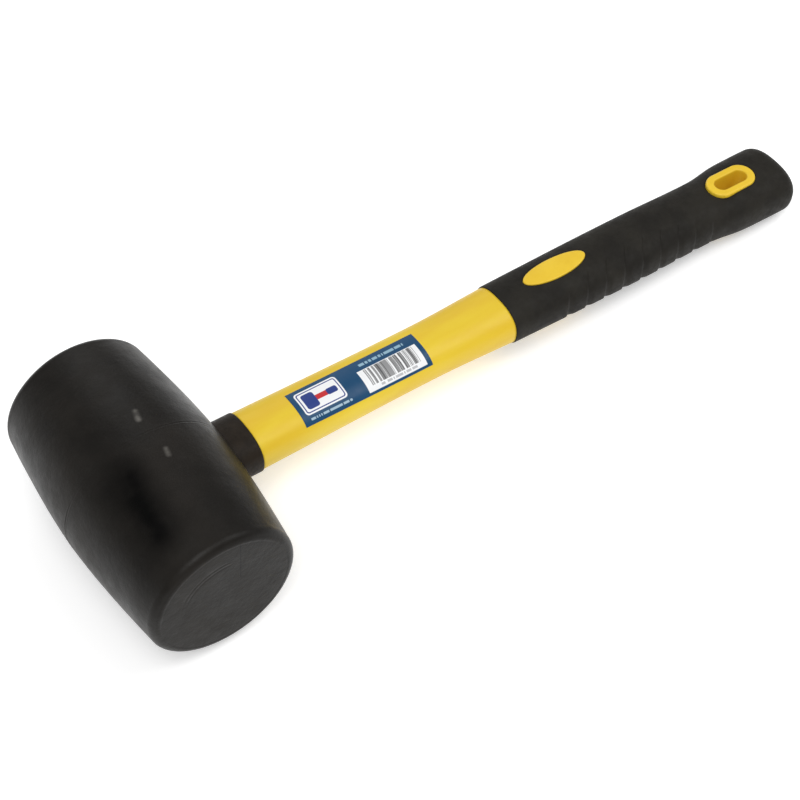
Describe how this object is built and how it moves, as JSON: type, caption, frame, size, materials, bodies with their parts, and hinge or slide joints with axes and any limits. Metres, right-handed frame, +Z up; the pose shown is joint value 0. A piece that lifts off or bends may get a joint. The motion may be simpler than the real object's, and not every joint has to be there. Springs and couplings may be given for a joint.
{
  "type": "rubber mallet",
  "caption": "Barrel-headed black rubber mallet with a yellow jacketed fibreglass shaft, moulded neck collar, ribbed soft grip, thumb inlays and a lined hang slot.",
  "frame": {"origin": "centre of the bounding box at the surface the mallet lies on", "axes": "+X along the handle from the head to the butt, +Y along the head between its striking faces, +Z up through the flat, labelled side of the handle, with the mallet lying on its side"},
  "size_m": [0.3736, 0.118, 0.074],
  "materials": {
    "head_rubber": "satin moulded black rubber",
    "adhesive": "cured amber epoxy",
    "collar_plastic": "satin black moulding",
    "fibreglass": "pultruded glass fibre",
    "yellow_jacket": "satin yellow polypropylene",
    "grip_rubber": "matt soft-touch thermoplastic rubber",
    "yellow_insert": "satin yellow polypropylene",
    "label_film": "printed blue film"
  },
  "bodies": {
    "root": {"rubber_head": "head_rubber", "eye_adhesive": "adhesive", "neck_collar": "collar_plastic", "fibreglass_core": "fibreglass", "shaft_jacket": "yellow_jacket", "grip_sleeve": "grip_rubber", "thumb_inlay_top": "yellow_insert", "thumb_inlay_bottom": "yellow_insert", "hang_hole_liner": "yellow_insert", "shaft_label": "label_film"}
  },
  "joints": []
}
